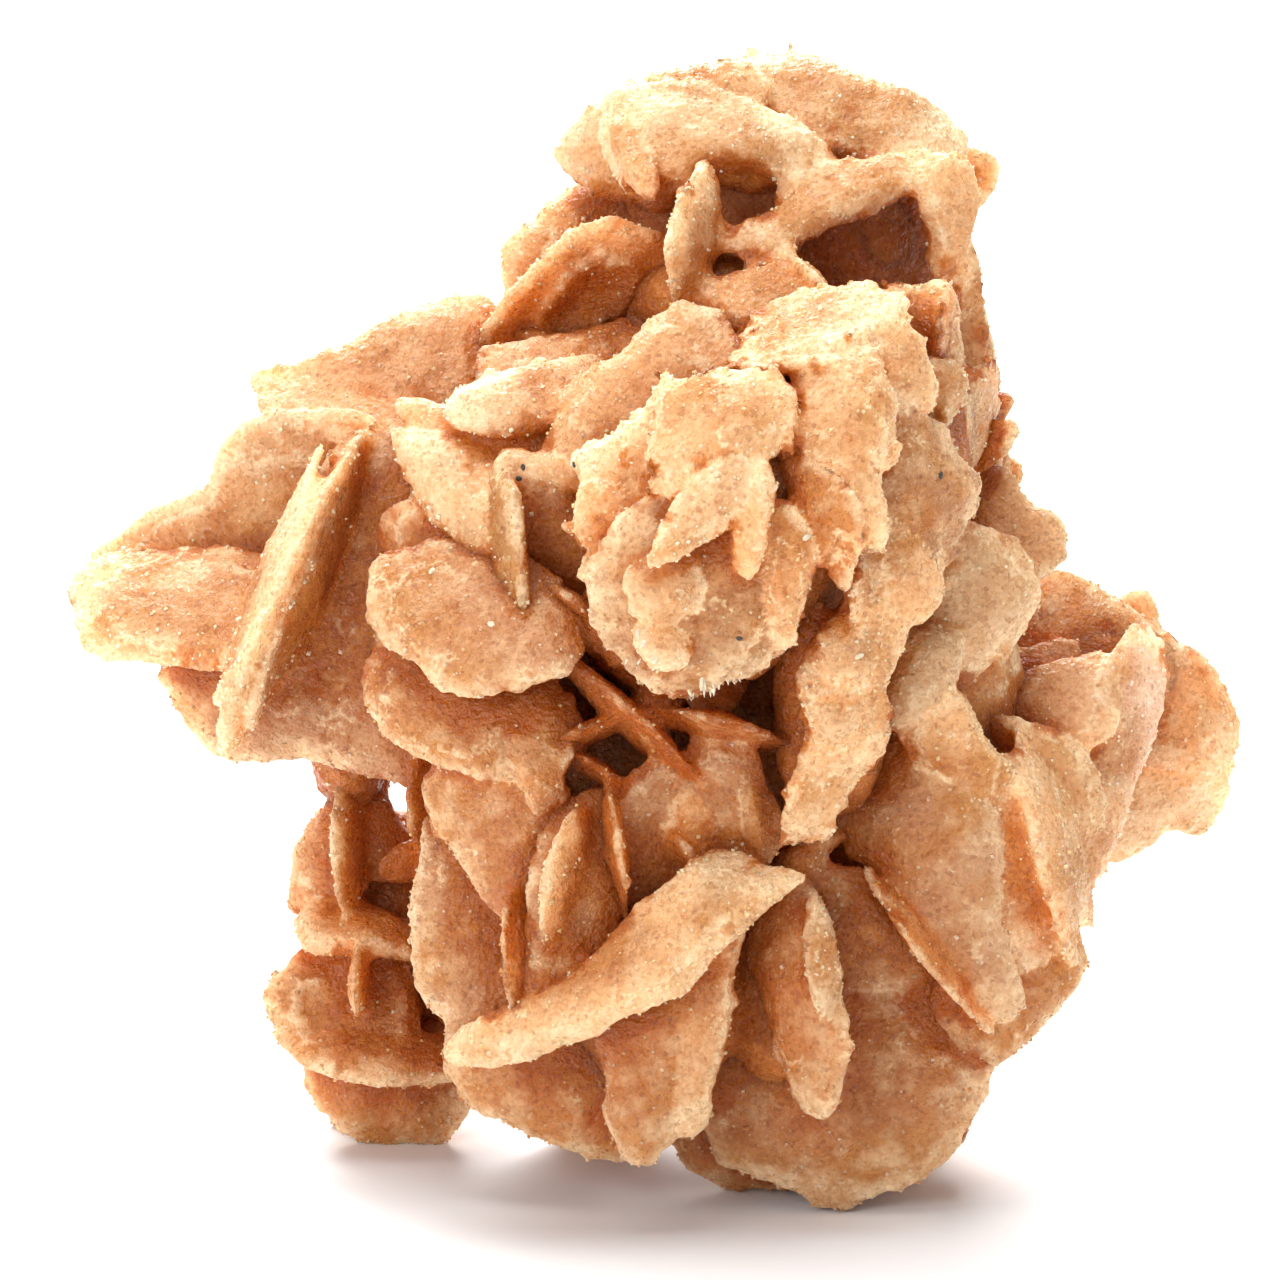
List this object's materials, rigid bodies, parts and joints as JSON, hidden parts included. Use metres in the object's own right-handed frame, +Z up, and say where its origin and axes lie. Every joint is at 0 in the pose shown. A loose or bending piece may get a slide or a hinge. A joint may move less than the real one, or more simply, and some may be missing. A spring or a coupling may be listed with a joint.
{
  "type": "gypsum sand rose",
  "caption": "Natural cluster of lens-shaped gypsum crystals grown through each other in desert sand, standing on the worn rims of its lowest crystals.",
  "frame": {"origin": "middle of the bounding box, on the plane that the cluster stands on", "axes": "+Z up, front faces -Y, +X to the right seen from the front"},
  "size_m": [0.0742, 0.049, 0.0689],
  "materials": {
    "gypsum": "sandy, grainy, slightly translucent at the thin rims"
  },
  "bodies": {
    "root": {"sand_rose": "gypsum"}
  },
  "joints": []
}
